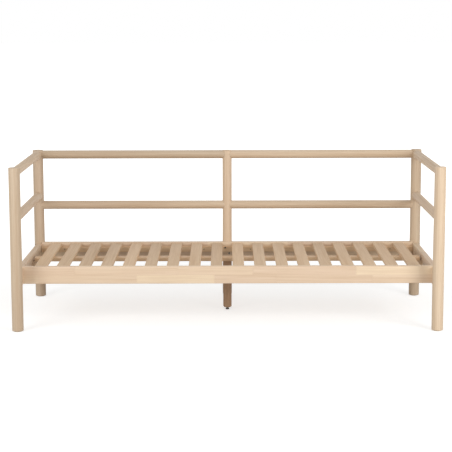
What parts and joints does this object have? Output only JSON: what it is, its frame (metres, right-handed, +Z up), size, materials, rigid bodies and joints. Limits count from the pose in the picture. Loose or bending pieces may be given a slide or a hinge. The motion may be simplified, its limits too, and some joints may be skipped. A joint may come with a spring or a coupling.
{
  "type": "daybed",
  "caption": "Wooden daybed with round posts and rails on three sides, an open slatted seat, a centre beam and levelling feet.",
  "frame": {"origin": "on the floor, midway between the corner posts (bottom centre of the bounding box)", "axes": "+X along the length to the right as seen from the open front, +Y towards the back rail, +Z up"},
  "size_m": [2.116, 0.9258, 0.807],
  "materials": {
    "post_wood": "pale oiled softwood, turned and sanded",
    "rail_wood": "pale oiled softwood, turned and sanded",
    "board_wood": "pale finger-jointed softwood, planed",
    "slat_wood": "pale softwood, planed",
    "batten_wood": "pale softwood, sawn and planed",
    "pin_wood": "turned hardwood",
    "glide_nylon": "tan moulded nylon",
    "foot_plastic": "black moulded plastic",
    "zinc_steel": "zinc-plated steel"
  },
  "bodies": {
    "root": {"arm_mid_rail_left": "rail_wood", "arm_mid_rail_right": "rail_wood", "arm_top_rail_left": "rail_wood", "arm_top_rail_right": "rail_wood", "back_mid_rail_left": "rail_wood", "back_mid_rail_right": "rail_wood", "back_rail": "board_wood", "back_rail_bolts": "zinc_steel", "back_top_rail_left": "rail_wood", "back_top_rail_right": "rail_wood", "barrel_nuts": "zinc_steel", "beam_screws": "zinc_steel", "beam_seat_left": "batten_wood", "beam_seat_right": "batten_wood", "centre_beam": "board_wood", "centre_leg": "post_wood", "centre_leg_foot_insert": "zinc_steel", "centre_post_bolts": "zinc_steel", "centre_post_foot_insert": "zinc_steel", "centre_post_inserts": "zinc_steel", "cleat_screws": "zinc_steel", "front_rail": "board_wood", "front_rail_bolts": "zinc_steel", "glide_back_left": "glide_nylon", "glide_back_right": "glide_nylon", "glide_front_left": "glide_nylon", "glide_front_right": "glide_nylon", "post_back_centre": "post_wood", "post_back_left": "post_wood", "post_back_right": "post_wood", "post_front_left": "post_wood", "post_front_right": "post_wood", "side_rail_left": "board_wood", "side_rail_right": "board_wood", "slat_01": "slat_wood", "slat_02": "slat_wood", "slat_03": "slat_wood", "slat_04": "slat_wood", "slat_05": "slat_wood", "slat_06": "slat_wood", "slat_07": "slat_wood", "slat_08": "slat_wood", "slat_09": "slat_wood", "slat_10": "slat_wood", "slat_11": "slat_wood", "slat_12": "slat_wood", "slat_13": "slat_wood", "slat_14": "slat_wood", "slat_15": "slat_wood", "slat_16": "slat_wood", "slat_17": "slat_wood", "slat_18": "slat_wood", "slat_cleat_back": "batten_wood", "slat_cleat_front": "batten_wood", "slat_pins": "pin_wood"},
    "leg_foot_pad": {"centre_leg_foot_pad": "foot_plastic"},
    "leg_foot_stud": {"centre_leg_foot_stud": "zinc_steel"},
    "post_foot_pad": {"centre_post_foot_pad": "foot_plastic"},
    "post_foot_stud": {"centre_post_foot_stud": "zinc_steel"}
  },
  "joints": [
    {"name": "leg_foot_travel", "type": "slide", "parent": "root", "child": "leg_foot_pad", "axis": [0, 0, -1], "range_m": [-0.003, 0.02]},
    {"name": "leg_foot_turn", "type": "hinge", "parent": "leg_foot_pad", "child": "leg_foot_stud", "pos_m": [0, 0.072, 0], "axis": [0, 0, -1], "range_deg": [-864, 5760]},
    {"name": "post_foot_travel", "type": "slide", "parent": "root", "child": "post_foot_pad", "axis": [0, 0, -1], "range_m": [-0.003, 0.02]},
    {"name": "post_foot_turn", "type": "hinge", "parent": "post_foot_pad", "child": "post_foot_stud", "pos_m": [0, 0.435, 0], "axis": [0, 0, -1], "range_deg": [-864, 5760]}
  ],
  "couplings": [
    {"joint": "leg_foot_travel", "follows": "leg_foot_turn", "m_per_rad": 0.00019894},
    {"joint": "post_foot_travel", "follows": "post_foot_turn", "m_per_rad": 0.00019894}
  ]
}
